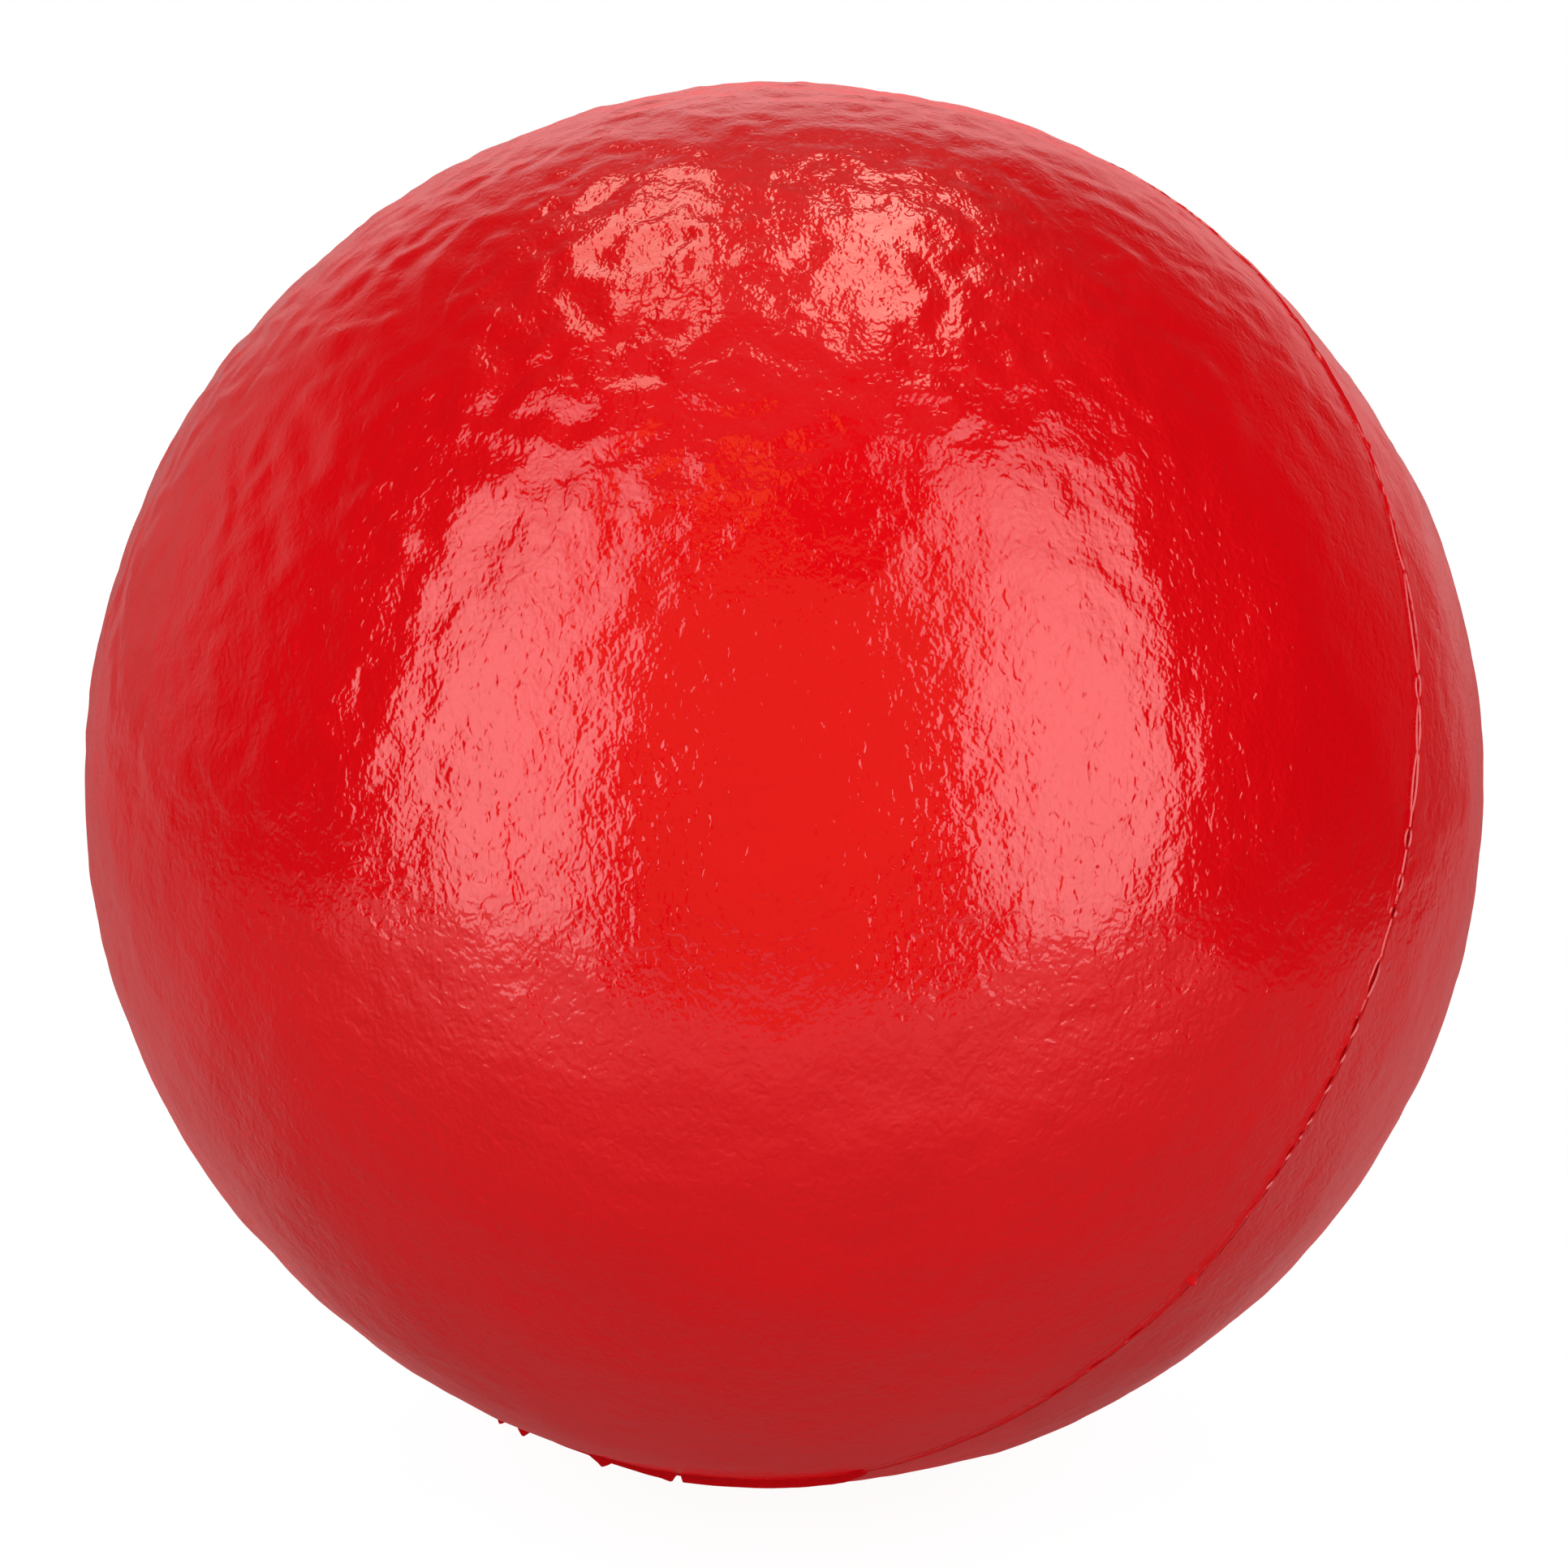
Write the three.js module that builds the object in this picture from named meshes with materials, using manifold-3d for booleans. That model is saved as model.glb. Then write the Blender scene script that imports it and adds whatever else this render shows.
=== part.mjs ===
// Coated foam play ball, as it lies on a table.
// A one-piece foam core is moulded inside two half skins that were sprayed into the two halves
// of a mould. Where the mould parts, a thin web of skin is squeezed out and trimmed by hand.
// Millimetres, +Z up. The table is z = 0 and the origin is the middle of the ball's resting patch.
// -Y is the front: the pole of the front half skin faces that way, leaning upwards.

import * as THREE from 'three';
import { mergeVertices } from 'three/addons/utils/BufferGeometryUtils.js';
import Module from 'manifold-3d';

// Driving dimensions
const BALL_DIAMETER = 200;
const SKIN_THICKNESS = 0.8;
const RIM_LIP_HEIGHT = 0.25; // low lip that each half skin has along the parting line
const RIM_LIP_WIDTH = 1.6;
const FLASH_THICKNESS = 1; // web of skin between the two rims
const FLASH_STUB = 0.45; // web left standing above the ball where it was trimmed close
const REST_PATCH_DIAMETER = 27; // flat that the soft ball takes under its own weight
const PARTING_LEAN = 24; // degrees that the front pole points above the horizontal
const BOND_GAP = 0.3; // clearance between pieces that are bonded to each other

// Stretches of the web that were trimmed badly, as points along its edge: degrees round the parting
// line from its lowest point, towards +X, and height above the ball. Straight snips join the points.
const RAGGED_EDGES = [
  // torn tags, a slit and a long straight snip, low at the front
  [
    [-13.4, 0.5],
    [-12.4, 2],
    [-11.7, 0.6],
    [-10.8, 0.6],
    [-9.8, 1.8],
    [-9.2, 0.5],
    [-2.9, 0.5],
    [-1.3, 1.5],
    [-0.6, 0.6],
    [4.6, 1],
    [5.5, 1.3],
    [5.9, 0.25],
    [6.5, 0.25],
    [6.7, 1.1],
    [22, 1],
  ],
  // a few short tags high at the back
  [
    [203, 0.5],
    [204.2, 1.2],
    [205, 0.6],
    [212, 0.9],
    [213, 0.4],
    [221, 0.5],
    [222.5, 1.4],
    [223.3, 0.6],
  ],
];

// Facets
const ROUND_SEGMENTS = 60; // round the parting axis
const QUARTER_SEGMENTS = 15; // from a pole to the parting line
const EDGE_STEP = 3; // degrees between points of the closely trimmed edge

// Finishes
const FOAM = { color: 0xe9dfc4, roughness: 0.95 };
const GLOSSY_SKIN = { color: 0xd0121a, roughness: 0.25 };
const CUT_SKIN = { color: 0xb80f17, roughness: 0.5 };

// Sizes that follow from the driving dimensions
const ballRadius = BALL_DIAMETER / 2;
const cavityRadius = ballRadius - SKIN_THICKNESS;
const coreRadius = cavityRadius - BOND_GAP;
const rimOffset = FLASH_THICKNESS / 2 + BOND_GAP; // from the parting plane to a half skin's rim
const centreHeight = Math.sqrt(ballRadius ** 2 - (REST_PATCH_DIAMETER / 2) ** 2);

const wasm = await Module();
wasm.setup();

function toSolid(geometry) {
  geometry.deleteAttribute('normal');
  geometry.deleteAttribute('uv');
  const merged = mergeVertices(geometry);
  const vertProperties = new Float32Array(merged.attributes.position.array);
  const triVerts = new Uint32Array(merged.index.array);
  return new wasm.Manifold(new wasm.Mesh({ numProp: 3, vertProperties, triVerts }));
}

function toMesh(name, solid, finish) {
  const { vertProperties, triVerts } = solid.getMesh();
  const geometry = new THREE.BufferGeometry();
  geometry.setAttribute('position', new THREE.BufferAttribute(vertProperties, 3));
  geometry.setIndex(new THREE.BufferAttribute(triVerts, 1));
  geometry.computeVertexNormals();
  const mesh = new THREE.Mesh(geometry, new THREE.MeshStandardMaterial({ ...finish, metalness: 0 }));
  mesh.name = name;
  return mesh;
}

// Shapes are drawn about the ball's centre with the parting axis along Y and the front pole at +Y.
// This lays them as the ball lies: the front pole faces -Y and leans up, and the underside rests.
function asItLies(geometry) {
  geometry.rotateX(Math.PI - THREE.MathUtils.degToRad(PARTING_LEAN));
  geometry.translate(0, 0, centreHeight);
  return toSolid(geometry);
}

// Everything that lies at or above a height over the table
function above(height) {
  const side = BALL_DIAMETER * 2;
  const box = new THREE.BoxGeometry(side, side, side);
  box.translate(0, 0, height + side / 2);
  return toSolid(box);
}

// A ball of a given radius that has settled flat at a given height over the table
function settledBall(radius, height) {
  const sphere = new THREE.SphereGeometry(radius, ROUND_SEGMENTS, 2 * QUARTER_SEGMENTS);
  return asItLies(sphere).intersect(above(height));
}

// The outside of one half of the ball, from its pole to its rim, with the lip along the rim
function halfBall(isFront) {
  const lipStart = Math.acos((rimOffset + RIM_LIP_WIDTH) / ballRadius);
  const profile = [new THREE.Vector2(0, rimOffset)];
  profile.push(new THREE.Vector2(ballRadius + RIM_LIP_HEIGHT, rimOffset));
  for (let i = QUARTER_SEGMENTS; i > 0; i -= 1) {
    const angle = (lipStart * i) / QUARTER_SEGMENTS;
    profile.push(new THREE.Vector2(ballRadius * Math.sin(angle), ballRadius * Math.cos(angle)));
  }
  profile.push(new THREE.Vector2(0, ballRadius));
  const half = new THREE.LatheGeometry(profile, ROUND_SEGMENTS);
  if (!isFront) {
    half.rotateX(Math.PI);
  }
  return asItLies(half);
}

// The points along the web's edge, as degrees and height, in order round the parting line
function trimmedEdge() {
  const edge = RAGGED_EDGES.flat();
  const isRagged = (angle) => RAGGED_EDGES.some((points) => {
    const first = points[0][0] - EDGE_STEP / 2;
    const last = points.at(-1)[0] + EDGE_STEP / 2;
    return angle > first && angle < last;
  });
  for (let angle = 0; angle < 360; angle += EDGE_STEP) {
    if (!isRagged(angle) && !isRagged(angle - 360)) {
      edge.push([angle, FLASH_STUB]);
    }
  }
  const turn = (angle) => (angle + 360) % 360;
  return edge.sort((a, b) => turn(a[0]) - turn(b[0]));
}

// The web of skin squeezed out at the parting plane
function flashWeb() {
  const outline = trimmedEdge().map(([degrees, height]) => {
    const angle = THREE.MathUtils.degToRad(degrees);
    const radius = ballRadius + height;
    return new THREE.Vector2(radius * Math.sin(angle), radius * Math.cos(angle));
  });
  const web = new THREE.ExtrudeGeometry(new THREE.Shape(outline), {
    depth: FLASH_THICKNESS,
    bevelEnabled: false,
  });
  web.rotateX(Math.PI / 2);
  web.translate(0, FLASH_THICKNESS / 2, 0);
  return asItLies(web);
}

const overTable = above(0);
const cavity = settledBall(cavityRadius, SKIN_THICKNESS);
const core = settledBall(coreRadius, SKIN_THICKNESS + BOND_GAP);
const skinFront = halfBall(true).intersect(overTable).subtract(cavity);
const skinRear = halfBall(false).intersect(overTable).subtract(cavity);
const flash = flashWeb().intersect(overTable).subtract(cavity);

const ball = new THREE.Group();
ball.name = 'foam_ball';
ball.add(toMesh('foam_core', core, FOAM));
ball.add(toMesh('skin_front', skinFront, GLOSSY_SKIN));
ball.add(toMesh('skin_rear', skinRear, GLOSSY_SKIN));
ball.add(toMesh('parting_flash', flash, CUT_SKIN));

export default ball;
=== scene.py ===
"""Looks of a coated foam play ball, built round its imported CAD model. Metres, +Z up, -Y the front."""

import math

import bmesh
import bpy
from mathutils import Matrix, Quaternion, Vector, noise


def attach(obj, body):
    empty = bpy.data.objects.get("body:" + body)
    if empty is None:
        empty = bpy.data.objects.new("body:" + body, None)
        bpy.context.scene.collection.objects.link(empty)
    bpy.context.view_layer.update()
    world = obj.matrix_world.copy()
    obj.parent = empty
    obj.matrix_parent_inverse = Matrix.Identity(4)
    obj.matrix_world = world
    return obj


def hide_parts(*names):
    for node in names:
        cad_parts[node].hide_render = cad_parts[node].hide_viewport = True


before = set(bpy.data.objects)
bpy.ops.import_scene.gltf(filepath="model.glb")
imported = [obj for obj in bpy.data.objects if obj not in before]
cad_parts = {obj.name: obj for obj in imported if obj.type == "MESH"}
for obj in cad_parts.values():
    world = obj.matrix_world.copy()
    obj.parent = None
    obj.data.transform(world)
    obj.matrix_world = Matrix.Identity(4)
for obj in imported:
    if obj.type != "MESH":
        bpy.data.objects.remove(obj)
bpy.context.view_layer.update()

# Foam core
# One ball of flexible polyurethane foam, foamed in place inside the two skins, which it fills and bonds
# to. The soft ball settles on a small flat patch under its own weight. The core shows only if it is cut.
MM = 0.001
BALL_RADIUS = 100 * MM
SKIN_THICKNESS = 0.8 * MM
BOND_GAP = 0.3 * MM
CORE_SETBACK = 0.2 * MM  # keeps the core clear of the rear skin, which lies a little further in
REST_PATCH_RADIUS = 13.5 * MM
REST_PATCH_EDGE = 0.15 * MM  # how softly the flat patch runs into the round of the ball
UNEVEN_HEIGHT = 0.15 * MM  # of the broad unevenness of the moulded ball
UNEVEN_SPACING = 1 / 1.7  # of the ball's radius
FOAM_CELL = 1.2 * MM
FOAM_CELL_DEPTH = 0.3 * MM
FOAM_LUMP_HEIGHT = 0.15 * MM
FOAM_COLOUR = 0xE9DFC4
# painted shade at the bottom of each cell hollow of the foam
FOAM_HOLLOW_PAINTED_SHADE = 0xC9B990
BALL_CENTRE = Vector((0, 0, math.sqrt(BALL_RADIUS**2 - REST_PATCH_RADIUS**2)))

# Gentle departures from a true ball, seen in its outline: azimuth and elevation in degrees, depth in
# millimetres and spread in degrees
FLAT_SPOTS = [
    (-25, -46, 0.75, 22),
    (20, -63, 0.6, 14),
    (129, 36, 0.4, 24),
    (118, 2, 0.2, 16),
]


def towards(azimuth, elevation):
    """The direction at an azimuth round from the front and an elevation, both in degrees."""
    turn = math.radians(azimuth)
    rise = math.radians(elevation)
    return Vector((math.sin(turn) * math.cos(rise), -math.cos(turn) * math.cos(rise), math.sin(rise)))


flats = [(towards(spot[0], spot[1]), spot[2] * MM, math.radians(spot[3])) for spot in FLAT_SPOTS]


def out_of_round(direction):
    """How far the moulded ball lies outside a true one in a direction."""
    lift = UNEVEN_HEIGHT * noise.noise(direction / UNEVEN_SPACING)
    for middle, depth, spread in flats:
        apart = direction.angle(middle) / spread
        if apart < 3:
            lift -= depth * math.exp(-apart * apart)
    return lift


def settled(direction, radius, floor):
    """The point at a radius in a direction, pressed flat where it would sink below a floor height."""
    point = BALL_CENTRE + direction * radius
    over = point.z - floor
    point.z = floor + (over + math.sqrt(over * over + REST_PATCH_EDGE * REST_PATCH_EDGE)) / 2
    return point


def linear(hex_colour):
    """A hex sRGB colour as linear RGBA."""
    channels = []
    for shift in (16, 8, 0):
        level = (hex_colour >> shift & 255) / 255
        channels.append(level / 12.92 if level <= 0.04045 else ((level + 0.055) / 1.055) ** 2.4)
    return (*channels, 1)


def add(tree, kind, inputs=None, **settings):
    """Adds a node to a tree with its settings, and sets or links its inputs."""
    made = tree.nodes.new(kind)
    for name, value in settings.items():
        setattr(made, name, value)
    for name, value in (inputs or {}).items():
        if isinstance(value, bpy.types.NodeSocket):
            tree.links.new(value, made.inputs[name])
        else:
            made.inputs[name].default_value = value
    return made


def new_material(name):
    """A material with an empty node tree."""
    material = bpy.data.materials.new(name)
    material.use_nodes = True
    material.node_tree.nodes.clear()
    return material


def new_piece(name, points, faces, material):
    """A smooth mesh object of points and faces, with one material, that rides on the ball."""
    mesh = bpy.data.meshes.new(name)
    mesh.from_pydata(points, [], faces)
    mesh.shade_smooth()
    mesh.set_sharp_from_angle(angle=math.radians(60))
    mesh.materials.append(material)
    piece = bpy.data.objects.new(name, mesh)
    bpy.context.scene.collection.objects.link(piece)
    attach(piece, "root")
    return piece


# Open-cell polyurethane foam, moulded: matte, cream, with cells as round hollows a millimetre wide, each
# painted darker towards its middle as painted shade
foam = new_material("moulded_polyurethane_foam")
tree = foam.node_tree
place = add(tree, "ShaderNodeTexCoord").outputs["Object"]
cells = add(tree, "ShaderNodeTexVoronoi", {"Vector": place, "Scale": 1 / FOAM_CELL})
painted_cell_shade = add(
    tree,
    "ShaderNodeMix",
    {"Factor": cells.outputs["Distance"], "A": linear(FOAM_HOLLOW_PAINTED_SHADE), "B": linear(FOAM_COLOUR)},
    data_type="RGBA",
)
hollows = add(tree, "ShaderNodeBump", {"Height": cells.outputs["Distance"], "Distance": FOAM_CELL_DEPTH})
surface = add(
    tree,
    "ShaderNodeBsdfPrincipled",
    {
        "Base Color": painted_cell_shade.outputs["Result"],
        "Roughness": 0.95,
        "IOR": 1.45,
        "Normal": hollows.outputs["Normal"],
    },
)
add(tree, "ShaderNodeOutputMaterial", {"Surface": surface.outputs["BSDF"]})

CORE_RADIUS = BALL_RADIUS - SKIN_THICKNESS - BOND_GAP - CORE_SETBACK
CORE_UNDERSIDE = SKIN_THICKNESS + BOND_GAP
FOAM_LUMP = 0.06  # of the ball's radius, the spacing of the soft lumps in a moulded core
ball = bmesh.new()
bmesh.ops.create_icosphere(ball, subdivisions=6, radius=1)
core_points = []
for vertex in ball.verts:
    direction = vertex.co.normalized()
    sunk = FOAM_LUMP_HEIGHT * (1 + noise.noise(direction / FOAM_LUMP))
    core_points.append(settled(direction, CORE_RADIUS + out_of_round(direction) - sunk, CORE_UNDERSIDE))
core_faces = [[corner.index for corner in face.verts] for face in ball.faces]
ball.free()
core = new_piece("core_of_foam", core_points, core_faces, foam)
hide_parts("foam_core")

# Front and rear skins
# Two half shells of red polyurethane elastomer, sprayed as a film into the halves of a mould and left with
# a high gloss. The film wrinkles as the foam swells against it, most of all on top and at the upper left.
PARTING_LEAN = math.radians(24)
FRONT_POLE = Vector((0, -math.cos(PARTING_LEAN), math.sin(PARTING_LEAN)))
PARTING_LOW = Vector((0, -math.sin(PARTING_LEAN), -math.cos(PARTING_LEAN)))
PARTING_RIGHT = Vector((1, 0, 0))
RIM_SETBACK = 0.8 * MM  # from the parting plane to the rim of a half skin
SKIN_COLOUR = 0xDB020D
SKIN_DEEP_COLOUR = 0xD1010C
HAZE_COLOUR = 0xFF1810  # light thrown back from just under the gloss
BLOOM_COLOUR = 0xFF1018  # light that passes through the film at a slant
CLOUD_SIZE = 25 * MM
PEEL_PITCH = 0.75 * MM
PEEL_DEPTH = 0.075 * MM
PUCKER_PITCH = 1.8 * MM
PUCKER_DEPTH = 0.13 * MM
FLECK_PITCH = 1.4 * MM
FLECK_DEPTH = 0.045 * MM
PINHOLE_SPACING = 11 * MM
PINHOLE_RADIUS = 0.3 * MM
PINHOLE_DEPTH = 0.12 * MM
DRAW_AZIMUTH = 36  # the film is drawn out lengthways up and over the ball in this direction
DRAW = 1.25
OUTER_ROWS = 190  # of mesh from a pole to the rim
INNER_ROWS = 38
SECTORS = 5  # equal wedges of mesh round a pole

# The wrinkles in three sizes, each with its spacing and height, then the low ridge of each half at the
# parting line, with its height and its reach, and the side where the film is crumpled most
BROAD_SWELL = (14 * MM, 0.42 * MM)
FOLD = (4.5 * MM, 0.125 * MM)
CRINKLE = (2.3 * MM, 0.045 * MM)
FRONT_RIDGE = (0.15 * MM, 8 * MM)
REAR_RIDGE = (0.45 * MM, 6 * MM)
CRUMPLED_SIDE = towards(-24, 40)
DRIFT_SEED = 5  # fixes the way that the folds wander, so that each run gives the same ball
noise.seed_set(DRIFT_SEED)


def smooth_step(value, start, end):
    """0 before the start and 1 after the end, with an even curve between them."""
    share = min(1, max(0, (value - start) / (end - start)))
    return share * share * (3 - 2 * share)


def wrinkles(direction):
    """Height of the film's folds in a direction."""
    point = direction * BALL_RADIUS
    drift = noise.noise_vector(point / (2 * FOLD[0])) * (0.6 * FOLD[0])
    swell = noise.noise(point / BROAD_SWELL[0]) * BROAD_SWELL[1]
    fold = noise.noise((point + drift) / FOLD[0] + Vector((7, 3, 1))) * FOLD[1]
    crinkle = noise.noise((point + drift) / CRINKLE[0] + Vector((2, 9, 4))) * CRINKLE[1]
    upper = smooth_step(direction.z, 0.3, 0.8)
    crumpled = smooth_step(direction.dot(CRUMPLED_SIDE), 0.7, 0.95)
    swell *= 1 - 0.3 * upper
    fold *= 1 + 1.5 * upper + 1.3 * crumpled
    crinkle *= 1 + upper
    return swell + fold + crinkle


def skin_lift(direction, ridge):
    """How far the outside of a half skin lies outside a true ball in a direction."""
    drop, reach = ridge
    from_parting = BALL_RADIUS * abs(math.asin(max(-1, min(1, direction.dot(FRONT_POLE)))))
    away = 1 - math.exp(-from_parting / reach)
    return out_of_round(direction) - drop * away + wrinkles(direction) * (0.35 + 0.65 * away)


def dome(rows, pole, rim_angle):
    """Directions and triangles of half a ball of even mesh, in rows from its pole to its rim."""
    directions = [pole]
    starts = [0]
    for row in range(1, rows + 1):
        starts.append(len(directions))
        slope = rim_angle * row / rows
        for step in range(SECTORS * row):
            turn = 2 * math.pi * step / (SECTORS * row)
            around = PARTING_RIGHT * math.sin(turn) + PARTING_LOW * math.cos(turn)
            directions.append(pole * math.cos(slope) + around * math.sin(slope))
    faces = []
    for row in range(rows):
        near = max(1, SECTORS * row)
        far = SECTORS * (row + 1)
        for sector in range(SECTORS):
            for step in range(row + 1):
                left = starts[row + 1] + (sector * (row + 1) + step) % far
                right = starts[row + 1] + (sector * (row + 1) + step + 1) % far
                top = starts[row] + (sector * row + step) % near
                faces.append((left, right, top))
                if step < row:
                    faces.append((top, right, starts[row] + (sector * row + step + 1) % near))
    return directions, faces


def half_skin(name, pole, ridge, material):
    """One half of the skin: its wrinkled outside, its plain inside and the rim between them."""
    rim_angle = math.acos(RIM_SETBACK / BALL_RADIUS)
    directions, faces = dome(OUTER_ROWS, pole, rim_angle)
    points = [settled(d, BALL_RADIUS + skin_lift(d, ridge), 0) for d in directions]
    inner_start = len(points)
    inner_directions, inner_faces = dome(INNER_ROWS, pole, rim_angle)
    inner_radius = BALL_RADIUS - SKIN_THICKNESS
    for direction in inner_directions:
        radius = inner_radius + out_of_round(direction) - ridge[0]
        points.append(settled(direction, radius, SKIN_THICKNESS))
    faces += [(a + inner_start, c + inner_start, b + inner_start) for a, b, c in inner_faces]
    outer_rim = SECTORS * OUTER_ROWS
    inner_rim = SECTORS * INNER_ROWS
    outer_first = inner_start - outer_rim
    inner_first = len(points) - inner_rim
    per_step = OUTER_ROWS // INNER_ROWS
    for step in range(inner_rim):
        near = inner_first + step
        after = inner_first + (step + 1) % inner_rim
        for part in range(per_step):
            left = outer_first + step * per_step + part
            right = outer_first + (step * per_step + part + 1) % outer_rim
            faces.append((right, left, near if part < per_step // 2 else after))
            if part == per_step // 2:
                faces.append((left, near, after))
    if pole != FRONT_POLE:
        faces = [tuple(reversed(face)) for face in faces]
    skin = new_piece(name, points, faces, material)
    return skin


# Sprayed polyurethane elastomer, cured against a polished mould: deep even red under a high gloss, with
# fine orange peel, small puckers and sunken flecks, and a few pinholes where air was caught. The haze under
# the gloss and the bloom at the rims are red, because that light has been through the film.
elastomer = new_material("sprayed_polyurethane_elastomer")
tree = elastomer.node_tree
place = add(tree, "ShaderNodeTexCoord").outputs["Object"]
cloud = add(tree, "ShaderNodeTexNoise", {"Vector": place, "Scale": 1 / CLOUD_SIZE, "Detail": 3})
red = add(
    tree,
    "ShaderNodeMix",
    {"Factor": cloud.outputs["Fac"], "A": linear(SKIN_DEEP_COLOUR), "B": linear(SKIN_COLOUR)},
    data_type="RGBA",
)
haze = add(tree, "ShaderNodeMapRange", {"Value": cloud.outputs["Fac"], "To Min": 0.38, "To Max": 0.46})
drawn = add(
    tree,
    "ShaderNodeMapping",
    {"Vector": place, "Rotation": (0, 0, math.radians(DRAW_AZIMUTH)), "Scale": (1, DRAW, DRAW)},
    vector_type="TEXTURE",
).outputs["Vector"]
upwards = add(tree, "ShaderNodeSeparateXYZ", {0: place}).outputs["Z"]
smoother_on_top = add(
    tree,
    "ShaderNodeMapRange",
    {
        "Value": upwards,
        "From Min": 1.3 * BALL_RADIUS,
        "From Max": 1.7 * BALL_RADIUS,
        "To Min": 1,
        "To Max": 0.4,
    },
)
peel = add(tree, "ShaderNodeTexNoise", {"Vector": drawn, "Scale": 1 / PEEL_PITCH, "Detail": 1})
orange_peel = add(tree, "ShaderNodeBump", {"Height": peel.outputs["Fac"], "Distance": PEEL_DEPTH})
pucker = add(
    tree,
    "ShaderNodeTexNoise",
    {"Vector": drawn, "Scale": 1 / PUCKER_PITCH, "Detail": 1, "Distortion": 0.9},
)
rise = add(
    tree,
    "ShaderNodeMath",
    {0: pucker.outputs["Fac"], 1: smoother_on_top.outputs["Result"]},
    operation="MULTIPLY",
)
puckers = add(
    tree,
    "ShaderNodeBump",
    {"Height": rise.outputs["Value"], "Distance": PUCKER_DEPTH, "Normal": orange_peel.outputs["Normal"]},
)
fleck = add(
    tree,
    "ShaderNodeTexNoise",
    {"Vector": drawn, "Scale": 1 / FLECK_PITCH, "Detail": 1, "Distortion": 0.4},
)
sunken = add(
    tree,
    "ShaderNodeMapRange",
    {"Value": fleck.outputs["Fac"], "From Min": 0.74, "From Max": 0.57},
)
flecks = add(
    tree,
    "ShaderNodeBump",
    {"Height": sunken.outputs["Result"], "Distance": FLECK_DEPTH, "Normal": puckers.outputs["Normal"]},
)
pit = add(tree, "ShaderNodeTexVoronoi", {"Vector": place, "Scale": 1 / PINHOLE_SPACING})
bottom = add(
    tree,
    "ShaderNodeMapRange",
    {"Value": pit.outputs["Distance"], "From Max": PINHOLE_RADIUS / PINHOLE_SPACING},
    interpolation_type="SMOOTHSTEP",
)
pinholes = add(
    tree,
    "ShaderNodeBump",
    {"Height": bottom.outputs["Result"], "Distance": PINHOLE_DEPTH, "Normal": flecks.outputs["Normal"]},
)
surface = add(
    tree,
    "ShaderNodeBsdfPrincipled",
    {
        "Base Color": red.outputs["Result"],
        "Roughness": haze.outputs["Result"],
        "IOR": 1.5,
        "Specular IOR Level": 0.6,
        "Specular Tint": linear(HAZE_COLOUR),
        "Sheen Weight": 0.6,
        "Sheen Roughness": 0.4,
        "Sheen Tint": linear(BLOOM_COLOUR),
        "Coat Weight": 1,
        "Coat Roughness": 0.08,
        "Coat IOR": 1.5,
        "Normal": pinholes.outputs["Normal"],
        "Coat Normal": pinholes.outputs["Normal"],
    },
)
add(tree, "ShaderNodeOutputMaterial", {"Surface": surface.outputs["BSDF"]})

front = half_skin("front_half_skin", FRONT_POLE, FRONT_RIDGE, elastomer)
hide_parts("skin_front")
rear = half_skin("rear_half_skin", -FRONT_POLE, REAR_RIDGE, elastomer)
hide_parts("skin_rear")

# Parting flash
# The web of elastomer squeezed out where the two halves of the mould met, trimmed by hand with a blade.
# Most of it is cut close and leaves a narrow hollow between two low lips; at the bottom it is torn and
# snipped. On the front skin it runs out as a thin film.
# The cut faces are painted darker than the skin: painted shade in the hollow between the lips and on the
# torn tags
CUT_PAINTED_SHADE_COLOUR = 0xAC030B
CUT_PALE_PAINTED_SHADE_COLOUR = 0xC2050E
FLASH_STEPS = 2400  # of mesh round the parting line
FLASH_DEPTH = 0.65 * MM  # that the web reaches down between the two skins
FLASH_FILM = 2.3 * MM  # how far the web runs out as a thin film on the front skin
REAR_FILM = 0.6 * MM  # how far it runs out on the rear skin, from the hollow
LIP_HEIGHT = 0.17 * MM
LIP_TOP = 0.06 * MM
LIP_FLANK = 0.19 * MM
SHOULDER = 1.9 * MM  # from the parting plane to the soft edge of the film
SHOULDER_HEIGHT = 0.06 * MM
SHOULDER_FLANKS = (0.12 * MM, 0.2 * MM)  # to the front and to the rear of that edge
TUCK = 0.04 * MM  # how far the edges of the web are tucked under the skin
LEAST_HOLLOW = 0.03 * MM  # half the width that is left where the lips meet
LEAST_RUN = 0.01 * MM  # of the slope inside the rear lip
REAR_SLOPE = 0.2 * MM  # the most that the rear lip slopes down before the hollow's wall
HOLLOW_WALL = 0.05 * MM
TAG_HALF_WIDTHS = (0.35 * MM, 0.2 * MM, 0.15 * MM, 0.08 * MM)  # of a torn tag, from its foot to its tip
TAG_FOOT_CUT = 0.4  # a tag's foot is more film than cut
DRAG_PITCH = 0.7 * MM
DRAG_DEPTH = 0.03 * MM
DROP_WIDTH = 0.5  # millimetres across the edge

# Stretches that were trimmed badly, as in the CAD model: degrees round the parting line from its lowest
# point towards +X, and height above the ball in millimetres
RAGGED_EDGES = [
    [
        (-13.4, 0.5),
        (-12.4, 2),
        (-11.7, 0.6),
        (-10.8, 0.6),
        (-9.8, 1.8),
        (-9.2, 0.5),
        (-2.9, 0.5),
        (-1.3, 1.5),
        (-0.6, 0.6),
        (4.6, 1),
        (5.5, 1.3),
        (5.9, 0.25),
        (6.5, 0.25),
        (6.7, 1.1),
        (22, 1),
        (24, 0.45),
    ],
    [
        (203, 0.5),
        (204.2, 1.2),
        (205, 0.6),
        (212, 0.9),
        (213, 0.4),
        (221, 0.5),
        (222.5, 1.4),
        (223.3, 0.6),
    ],
]

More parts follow.
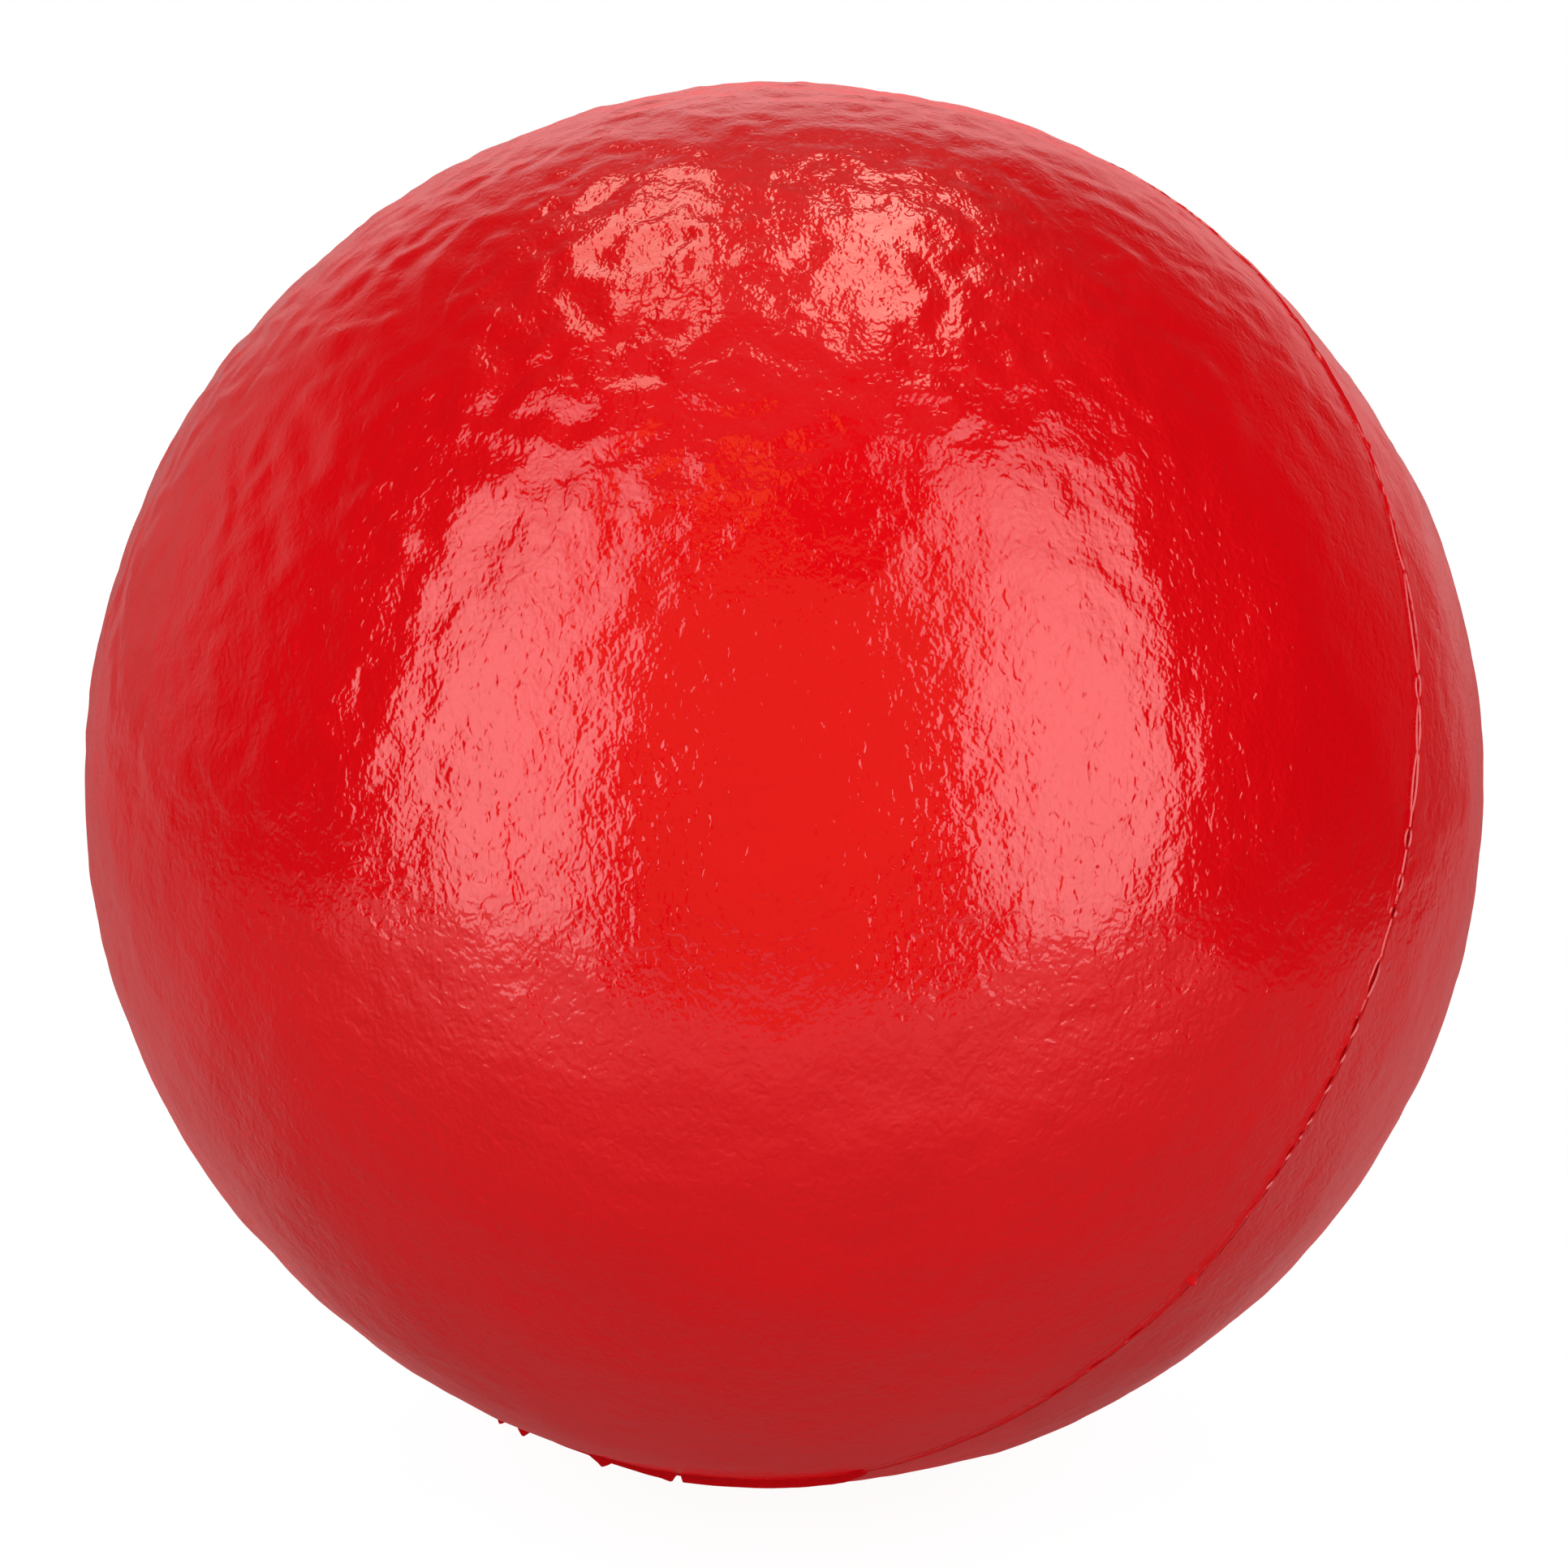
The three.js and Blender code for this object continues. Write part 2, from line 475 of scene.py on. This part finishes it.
# Where the two lips stand apart on the right: from and to in degrees round the parting line, and half the
# width and the depth of the hollow between them in millimetres
LOOPS = [
    (23, 27.5, 0.1, 0.2),
    (28, 31, 0.3, 0.3),
    (31.3, 36, 0.12, 0.25),
    (36.4, 38.6, 0.4, 0.35),
    (38.8, 40.9, 0.15, 0.25),
    (41.2, 43.4, 0.6, 0.45),
    (43.7, 45, 0.2, 0.25),
    (45.2, 47.3, 0.65, 0.4),
    (47.6, 49, 0.2, 0.25),
    (49.2, 51.4, 0.6, 0.4),
    (51.7, 55.4, 0.25, 0.3),
    (57.6, 59.4, 0.35, 0.35),
    (59.7, 62.8, 0.12, 0.25),
    (63, 65, 0.4, 0.35),
    (65.8, 67.8, 0.75, 0.35),
    (68.4, 69.9, 0.6, 0.4),
    (70.2, 71.2, 0.55, 0.4),
    (71.6, 72.9, 0.6, 0.4),
    (74.3, 75.9, 0.75, 0.45),
    (76.8, 78.4, 0.8, 0.45),
    (79, 81, 0.75, 0.5),
    (82.2, 85.5, 0.8, 0.5),
    (85.8, 88.2, 0.15, 0.2),
    (88.5, 89.6, 0.8, 0.5),
    (90.5, 92.1, 0.55, 0.4),
    (93.9, 95.7, 0.75, 0.5),
    (96.8, 101.5, 0.6, 0.08),
    (101.6, 105.3, 0.5, 0.06),
    (105.6, 107.6, 0.65, 0.12),
    (107.8, 116, 0.75, 0.06),
    (116.3, 122.4, 0.55, 0.06),
    (124.2, 126, 0.2, 0.2),
    (127.8, 137, 0.7, 0.1),
    (137.2, 143, 0.15, 0.2),
]

# Drops of elastomer that set on the edge: degrees, place across the edge and height in millimetres, and
# half their length in degrees
DROPS = [
    (56.5, 0.1, 0.75, 0.4),
    (66.9, 0.9, 0.25, 0.5),
    (123.2, 0.1, 0.2, 0.3),
    (127.1, -0.8, 0.5, 0.4),
]


def all_loops():
    """The loops of the whole ring, with loops of changing length on the sides that the photo hides."""
    loops = list(LOOPS)
    start = LOOPS[-1][1] + 1
    while start < 356:
        chance = 0.5 + noise.noise(Vector((start * 0.37, 5.2, 0)))
        other = 0.5 + noise.noise(Vector((start * 0.53, 1.7, 6)))
        end = start + 1.3 + 5 * max(0, chance)
        loops.append((start, end, 0.12 + 0.6 * max(0, other), 0.08 + 0.3 * max(0, 1 - chance)))
        start = end + 0.3 + 0.8 * max(0, other)
    return loops


def hollow_at(angle, loops):
    """Half the width and the depth of the hollow between the lips at an angle, 0 where they meet."""
    for start, end, width, depth in loops:
        if start < angle < end:
            share = math.sin(math.pi * (angle - start) / (end - start)) ** 0.6
            return width * share * MM, depth * min(1, 1.5 * share) * MM
    return 0, 0


def ragged_height(angle):
    """Height of a badly trimmed stretch over the ball at an angle, None where the web is cut close."""
    for stretch in RAGGED_EDGES:
        for (start, low), (end, high) in zip(stretch, stretch[1:]):
            for turned in (angle, angle - 360):
                if start <= turned <= end:
                    return (low + (high - low) * (turned - start) / (end - start)) * MM
    return None


def flash_profile(angle, loops):
    """The web's cross section at an angle, from front to rear: steps along the parting axis, heights over
    the skin, and 1 where a blade has cut it, less at the foot of a tag."""
    apart, depth = hollow_at(angle, loops)
    uneven = noise.noise(Vector((angle * 1.3, 0.5, 2)))
    lip = LIP_HEIGHT * (1 + 0.35 * uneven)
    soft = SHOULDER_HEIGHT * smooth_step(uneven, -0.3, 0.4)
    lip *= 0.35 + 0.65 * smooth_step(angle, 70, 92)
    apart += LEAST_HOLLOW
    land = -depth if depth else lip
    fall = min(lip - land, REAR_SLOPE)
    run = LEAST_RUN + min(1.07 * fall, 0.8 * apart)
    wall = min(HOLLOW_WALL, 0.25 * apart)
    blade = 1 if depth else 0
    section = [
        (FLASH_FILM, -TUCK, 0),
        (SHOULDER + SHOULDER_FLANKS[0], -0.01 * MM, 0),
        (SHOULDER, soft, 0),
        (SHOULDER - SHOULDER_FLANKS[1], 0, 0),
        (apart + LIP_TOP + LIP_FLANK, 0, 0),
        (apart + LIP_TOP, lip, 0),
        (apart, lip, 0),
        (apart - wall, land, blade),
        (run - apart + wall, land, blade),
        (run - apart, lip - fall, 0),
        (-apart, lip, 0),
        (-apart - LIP_TOP, lip, 0),
        (-apart - LIP_TOP - LIP_FLANK, 0, 0),
        (-apart - REAR_FILM, -TUCK, 0),
    ]
    ragged = ragged_height(angle)
    if ragged is not None:
        lean = 0.3 * uneven * ragged
        foot, waist, neck, tip = TAG_HALF_WIDTHS
        section[4:13] = [
            (foot, 0, TAG_FOOT_CUT),
            (waist + 0.5 * lean, 0.5 * ragged, 1),
            (neck + lean, 0.95 * ragged, 1),
            (tip + lean, ragged, 1),
            (lean, ragged, 1),
            (lean - tip, ragged, 1),
            (lean - neck, 0.95 * ragged, 1),
            (0.5 * lean - waist, 0.5 * ragged, 1),
            (-foot, 0, TAG_FOOT_CUT),
        ]
    for at, across, height, reach in DROPS:
        along = math.exp(-(((angle - at) / reach) ** 2))
        if along > 0.01:
            section = [
                (x, y + height * MM * along * math.exp(-(((x / MM - across) / DROP_WIDTH) ** 2)), cut)
                for x, y, cut in section
            ]
    return section


# The same elastomer: glossy where the film was pressed up into lips, and dull where a blade has cut it, and
# there also painted darker than the skin as painted shade in the hollow between the lips and on the torn
# tags. Both show the fine drag marks of the trimming.
finishes = []
for name, deep_tone_and_painted_shade, pale, roughness, mirror in (
    ("pressed_polyurethane_elastomer", SKIN_DEEP_COLOUR, SKIN_COLOUR, 0.12, 0.5),
    ("trimmed_polyurethane_elastomer_painted_shade", CUT_PAINTED_SHADE_COLOUR, CUT_PALE_PAINTED_SHADE_COLOUR, 0.75, 0.04),
):
    finish = new_material(name)
    tree = finish.node_tree
    place = add(tree, "ShaderNodeTexCoord").outputs["Object"]
    drag = add(tree, "ShaderNodeTexNoise", {"Vector": place, "Scale": 1 / DRAG_PITCH, "Detail": 3})
    tint = add(
        tree,
        "ShaderNodeMix",
        {"Factor": drag.outputs["Fac"], "A": linear(deep_tone_and_painted_shade), "B": linear(pale)},
        data_type="RGBA",
    )
    marks = add(tree, "ShaderNodeBump", {"Height": drag.outputs["Fac"], "Distance": DRAG_DEPTH})
    surface = add(
        tree,
        "ShaderNodeBsdfPrincipled",
        {
            "Base Color": tint.outputs["Result"],
            "Roughness": roughness,
            "IOR": 1.5,
            "Specular IOR Level": mirror,
            "Normal": marks.outputs["Normal"],
        },
    )
    add(tree, "ShaderNodeOutputMaterial", {"Surface": surface.outputs["BSDF"]})
    finishes.append(finish)
pressed, trimmed_and_painted_shade = finishes

loops = all_loops()
flash_points = []
flash_cuts = []
flash_faces = []
for step in range(FLASH_STEPS):
    angle = 360 * step / FLASH_STEPS
    turn = math.radians(angle)
    around = PARTING_RIGHT * math.sin(turn) + PARTING_LOW * math.cos(turn)
    for across, height, cut_share in flash_profile(angle, loops):
        direction = (around * BALL_RADIUS + FRONT_POLE * across).normalized()
        ridge = FRONT_RIDGE if across > 0 else REAR_RIDGE
        point = BALL_CENTRE + direction * (BALL_RADIUS + skin_lift(direction, ridge) + height)
        point.z = max(point.z, 0)
        flash_points.append(point)
        flash_cuts.append(cut_share)
    for across in (-RIM_SETBACK, RIM_SETBACK):
        flash_points.append(BALL_CENTRE + around * (BALL_RADIUS - FLASH_DEPTH) + FRONT_POLE * across)
        flash_cuts.append(1)
    corners = len(flash_points) // (step + 1)
    for corner in range(corners):
        first = step * corners + corner
        beside = step * corners + (corner + 1) % corners
        ahead = (step + 1) % FLASH_STEPS * corners
        flash_faces.append((first, beside, ahead + (corner + 1) % corners, ahead + corner))
flash = new_piece("trimmed_flash", flash_points, flash_faces, pressed)
flash.data.set_sharp_from_angle(angle=math.radians(28))
flash.data.materials.append(trimmed_and_painted_shade)
# Faces that a blade has cut take the dull finish with the painted shade
for face in flash.data.polygons:
    if sum(flash_cuts[corner] for corner in face.vertices) >= 2:
        face.material_index = 1
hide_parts("parting_flash")

# Camera
# Looks at the ball from the right of its front and a little above, from as far away as the photo's
# perspective says, and frames it as the photo does.
VIEW_AZIMUTH = 36.2
VIEW_ELEVATION = 15
VIEW_DISTANCE = 7 * BALL_RADIUS
PHOTO_SIDE = 1932
FOCAL_PIXELS = 5996
OFF_CENTRE = (2.5, 0.6)  # pixels that the ball lies right of the photo's middle and below it

view_from = towards(VIEW_AZIMUTH, VIEW_ELEVATION)
lens = bpy.data.cameras.new("camera")
lens.sensor_width = 36
lens.lens = lens.sensor_width * FOCAL_PIXELS / PHOTO_SIDE
lens.shift_x = -OFF_CENTRE[0] / PHOTO_SIDE
lens.shift_y = OFF_CENTRE[1] / PHOTO_SIDE
lens.clip_start = 0.01
camera = bpy.data.objects.new("camera", lens)
camera.location = BALL_CENTRE + view_from * VIEW_DISTANCE
camera.rotation_mode = "QUATERNION"
camera.rotation_quaternion = (-view_from).to_track_quat("-Z", "Y")
bpy.context.scene.collection.objects.link(camera)
bpy.context.scene.camera = camera

# Studio
# A small pale table under the ball, two tall softboxes to the left and right of the camera, two strips hung
# level overhead, a warm room behind the camera, and lamps behind the ball for the white surround. Bearings
# are counted from the camera's, to its right.
TABLE_FRONT = 0.48
TABLE_BACK = 1.4
TABLE_LEFT = 0.78
TABLE_RIGHT = 0.42
TABLE_FADE = 0.12
TABLE_COLOUR = 0x5C5C5C
WHITE = 0xFFFFFF
STRIP_COLOUR = 0xFFE4D2
ROOM_COLOUR = 0xFFCF98
WARM_LAMP_COLOUR = 0xFF9A50

# Matt white paper on a table: white to the camera. Its glow paints what the ball's gloss sees of it: a
# painted shadow close in front, where the ball shades it, painted light further out and under the softboxes,
# and a pale painted glow close behind the ball. It also glows for diffuse rays, most close to the ball:
# painted bounce light on the ball from below.
table = new_material("matt_white_table_with_painted_glow")
tree = table.node_tree
place = add(tree, "ShaderNodeTexCoord").outputs["Object"]
ray = add(tree, "ShaderNodeLightPath")
mirrored = add(
    tree,
    "ShaderNodeMath",
    {0: ray.outputs["Is Glossy Ray"], 1: ray.outputs["Is Transmission Ray"]},
    operation="MAXIMUM",
)
along = add(tree, "ShaderNodeSeparateXYZ", {0: place})
# Painted shadow and light seen in the ball's gloss: the table's glow is dark close in front of the ball,
# where the ball shades it, brighter further out and brighter still under the softboxes
painted_shadow_in_front = add(
    tree,
    "ShaderNodeMapRange",
    {"Value": along.outputs["Y"], "From Min": -0.1, "From Max": -0.32, "To Min": 0.02, "To Max": 0.5},
    interpolation_type="SMOOTHSTEP",
)
aside = add(tree, "ShaderNodeMath", {0: along.outputs["X"]}, operation="ABSOLUTE")
painted_softbox_light = add(
    tree,
    "ShaderNodeMapRange",
    {"Value": aside.outputs["Value"], "From Min": 0.04, "From Max": 0.25, "To Min": 1.05, "To Max": 1.45},
    interpolation_type="SMOOTHSTEP",
)
painted_light_in_front = add(
    tree,
    "ShaderNodeMath",
    {0: painted_shadow_in_front.outputs["Result"], 1: painted_softbox_light.outputs["Result"]},
    operation="MULTIPLY",
)
# A pale painted glow close behind the ball, fading further off
table_behind = add(
    tree,
    "ShaderNodeMapRange",
    {"Value": along.outputs["Y"], "From Min": -0.05, "From Max": 0.03},
    interpolation_type="SMOOTHSTEP",
)
far = add(tree, "ShaderNodeVectorMath", {0: place}, operation="LENGTH")
painted_glow_fading_away = add(
    tree,
    "ShaderNodeMapRange",
    {"Value": far.outputs["Value"], "From Min": 0.12, "From Max": 0.45, "To Min": 0.13, "To Max": 0.06},
    interpolation_type="SMOOTHSTEP",
)
painted_reflection = add(
    tree,
    "ShaderNodeMath",
    {
        0: table_behind.outputs["Result"],
        1: painted_glow_fading_away.outputs["Result"],
        2: painted_light_in_front.outputs["Value"],
    },
    operation="MULTIPLY_ADD",
)
# Painted bounce light: the table glows for diffuse rays, most close to the ball, and lights the ball from
# below though it is no lamp
painted_light_from_below = add(
    tree,
    "ShaderNodeMapRange",
    {"Value": far.outputs["Value"], "From Min": 0.05, "From Max": 0.25, "To Min": 0.51, "To Max": 0.36},
    interpolation_type="SMOOTHSTEP",
)
painted_gleam = add(
    tree,
    "ShaderNodeMath",
    {0: mirrored.outputs["Value"], 1: painted_reflection.outputs["Value"]},
    operation="MULTIPLY",
)
painted_bounce_and_reflection = add(
    tree,
    "ShaderNodeMath",
    {0: ray.outputs["Is Diffuse Ray"], 1: painted_light_from_below.outputs["Result"], 2: painted_gleam.outputs["Value"]},
    operation="MULTIPLY_ADD",
)
# Evenly white to the camera, with the painted glow added for the other rays
white_and_painted_glow = add(
    tree,
    "ShaderNodeMath",
    {0: ray.outputs["Is Camera Ray"], 1: 0.94, 2: painted_bounce_and_reflection.outputs["Value"]},
    operation="MULTIPLY_ADD",
)
paper = add(tree, "ShaderNodeBsdfDiffuse", {"Color": linear(TABLE_COLOUR)})
glow = add(tree, "ShaderNodeEmission", {"Color": linear(WHITE), "Strength": white_and_painted_glow.outputs["Value"]})
lit = add(tree, "ShaderNodeAddShader", {0: paper.outputs["BSDF"], 1: glow.outputs["Emission"]})
fades = []
for axis, low, high in (("X", -TABLE_LEFT, TABLE_RIGHT), ("Y", -TABLE_FRONT, TABLE_BACK)):
    middle = (low + high) / 2
    half = (high - low) / 2
    off = add(tree, "ShaderNodeMath", {0: along.outputs[axis], 1: middle}, operation="SUBTRACT")
    out = add(tree, "ShaderNodeMath", {0: off.outputs["Value"]}, operation="ABSOLUTE")
    fade = add(
        tree,
        "ShaderNodeMapRange",
        {"Value": out.outputs["Value"], "From Min": half - TABLE_FADE, "From Max": half},
        interpolation_type="SMOOTHSTEP",
    )
    fades.append(fade.outputs["Result"])
gone = add(tree, "ShaderNodeMath", {0: fades[0], 1: fades[1]}, operation="MAXIMUM")
clear = add(tree, "ShaderNodeBsdfTransparent")
edge = add(
    tree,
    "ShaderNodeMixShader",
    {"Fac": gone.outputs["Value"], 1: lit.outputs["Shader"], 2: clear.outputs["BSDF"]},
)
add(tree, "ShaderNodeOutputMaterial", {"Surface": edge.outputs["Shader"]})

corners = [
    (-TABLE_LEFT, -TABLE_FRONT, 0),
    (TABLE_RIGHT, -TABLE_FRONT, 0),
    (TABLE_RIGHT, TABLE_BACK, 0),
    (-TABLE_LEFT, TABLE_BACK, 0),
]
top = bpy.data.meshes.new("table")
top.from_pydata(corners, [], [(0, 1, 2, 3)])
top.materials.append(table)
floor = bpy.data.objects.new("table", top)
floor.rotation_euler.z = math.radians(VIEW_AZIMUTH)
bpy.context.scene.collection.objects.link(floor)


BRIGHTEST_SPOT = (0.5, 0.43, 0)  # of a lamp with a soft edge, as shares of its width and height


def lamp(name, bearing, elevation, distance, size, radiance, colour=WHITE, edge=1):
    """A rectangular lamp that faces the ball from a bearing and an elevation in degrees and a distance, with
    its width and height, a brightness where 1 is white, and the share of that which is left at its edge."""
    light = bpy.data.lights.new(name, "AREA")
    light.shape = "RECTANGLE"
    light.color = linear(colour)[:3]
    light.size = size[0]
    light.size_y = size[1]
    light.energy = radiance * math.pi * size[0] * size[1]
    if edge < 1:
        light.use_nodes = True
        cloth = light.node_tree
        across = add(cloth, "ShaderNodeNewGeometry").outputs["Parametric"]
        off = add(cloth, "ShaderNodeVectorMath", {0: across, 1: BRIGHTEST_SPOT}, operation="SUBTRACT")
        out = add(cloth, "ShaderNodeVectorMath", {0: off.outputs["Vector"]}, operation="LENGTH")
        share = add(
            cloth,
            "ShaderNodeMapRange",
            {
                "Value": out.outputs["Value"],
                "From Min": 0.1,
                "From Max": 0.5 + edge,
                "To Min": 1,
                "To Max": edge,
            },
            interpolation_type="SMOOTHSTEP",
        )
        cloth.links.new(share.outputs["Result"], cloth.nodes["Emission"].inputs["Strength"])
    stand = bpy.data.objects.new(name, light)
    away = towards(VIEW_AZIMUTH + bearing, elevation)
    stand.location = BALL_CENTRE + away * distance
    stand.rotation_mode = "QUATERNION"
    stand.rotation_quaternion = (-away).to_track_quat("-Z", "Y")
    stand.visible_camera = False
    bpy.context.scene.collection.objects.link(stand)
    return stand


for name, bearing, width, level, roll in (("left", -46.5, 0.58, 4, 8), ("right", 47, 0.62, 4, -9)):
    softbox = lamp("softbox_" + name, bearing, 22, 1.0, (width, 1.62), level, edge=0.3)
    softbox.rotation_quaternion @= Quaternion((0, 0, 1), math.radians(roll))
for name, bearing, rise, level in (("strip_left", 215, 66, 3.6), ("strip_right", 151, 70, 5.2)):
    strip = lamp(name, bearing, rise, 1.1, (0.21, 0.7), level, STRIP_COLOUR)
    strip.rotation_mode = "XYZ"
    strip.rotation_euler = (0, 0, math.radians(VIEW_AZIMUTH))
    strip.visible_diffuse = False
lamp("warm_room", 0, 18, 1.5, (1.3, 1.9), 0.48, ROOM_COLOUR)
lamp("warm_lamp", -13, 59, 1.2, (0.26, 0.24), 1.8, WARM_LAMP_COLOUR)
lamp("ceiling", 0, 84, 1.4, (1, 0.8), 0.13)
lamp("left_wall", -116, 14, 1.6, (2, 1.5), 0.15, edge=0)
lamp("back_wall", 190, 28, 1.6, (2.2, 1.4), 0.28, edge=0)
for name, bearing, rise, level in (
    ("back_fill", 180, 58, 0.6),
    ("left_fill", -142, 2, 5.5),
    ("right_fill", 147, -3, 6.7),
):
    fill = lamp(name, bearing, rise, 1.6, (1.2, 1.4), level)
    fill.visible_glossy = False

# The white surround: white to the camera, and in the ball's gloss or in glass a pale screen behind the ball
SCREEN_INNER = math.radians(11)
SCREEN_OUTER = math.radians(44)
surround = bpy.data.worlds.new("white_surround")
surround.use_nodes = True
tree = surround.node_tree
tree.nodes.clear()
ray = add(tree, "ShaderNodeLightPath")
gaze = add(tree, "ShaderNodeTexCoord").outputs["Generated"]
behind = towards(VIEW_AZIMUTH + 175, -2)
facing = add(tree, "ShaderNodeVectorMath", {0: gaze, 1: behind}, operation="DOT_PRODUCT")
apart = add(tree, "ShaderNodeMath", {0: facing.outputs["Value"]}, operation="ARCCOSINE")
screen = add(
    tree,
    "ShaderNodeMapRange",
    {
        "Value": apart.outputs["Value"],
        "From Min": SCREEN_INNER,
        "From Max": SCREEN_OUTER,
        "To Min": 0.4,
        "To Max": 0.01,
    },
    interpolation_type="SMOOTHSTEP",
)
mirrored = add(
    tree,
    "ShaderNodeMath",
    {0: ray.outputs["Is Glossy Ray"], 1: ray.outputs["Is Transmission Ray"]},
    operation="MAXIMUM",
)
dim = add(tree, "ShaderNodeMapRange", {"Value": mirrored.outputs["Value"], "To Min": 0.03, "To Max": 0})
unlit = add(
    tree,
    "ShaderNodeMath",
    {0: screen.outputs["Result"], 1: dim.outputs["Result"]},
    operation="MAXIMUM",
)
level = add(
    tree,
    "ShaderNodeMath",
    {0: unlit.outputs["Value"], 1: ray.outputs["Is Camera Ray"]},
    operation="MAXIMUM",
)
sky = add(tree, "ShaderNodeBackground", {"Color": linear(WHITE), "Strength": level.outputs["Value"]})
add(tree, "ShaderNodeOutputWorld", {"Surface": sky.outputs["Background"]})
bpy.context.scene.world = surround
bpy.context.scene.view_settings.view_transform = "Standard"
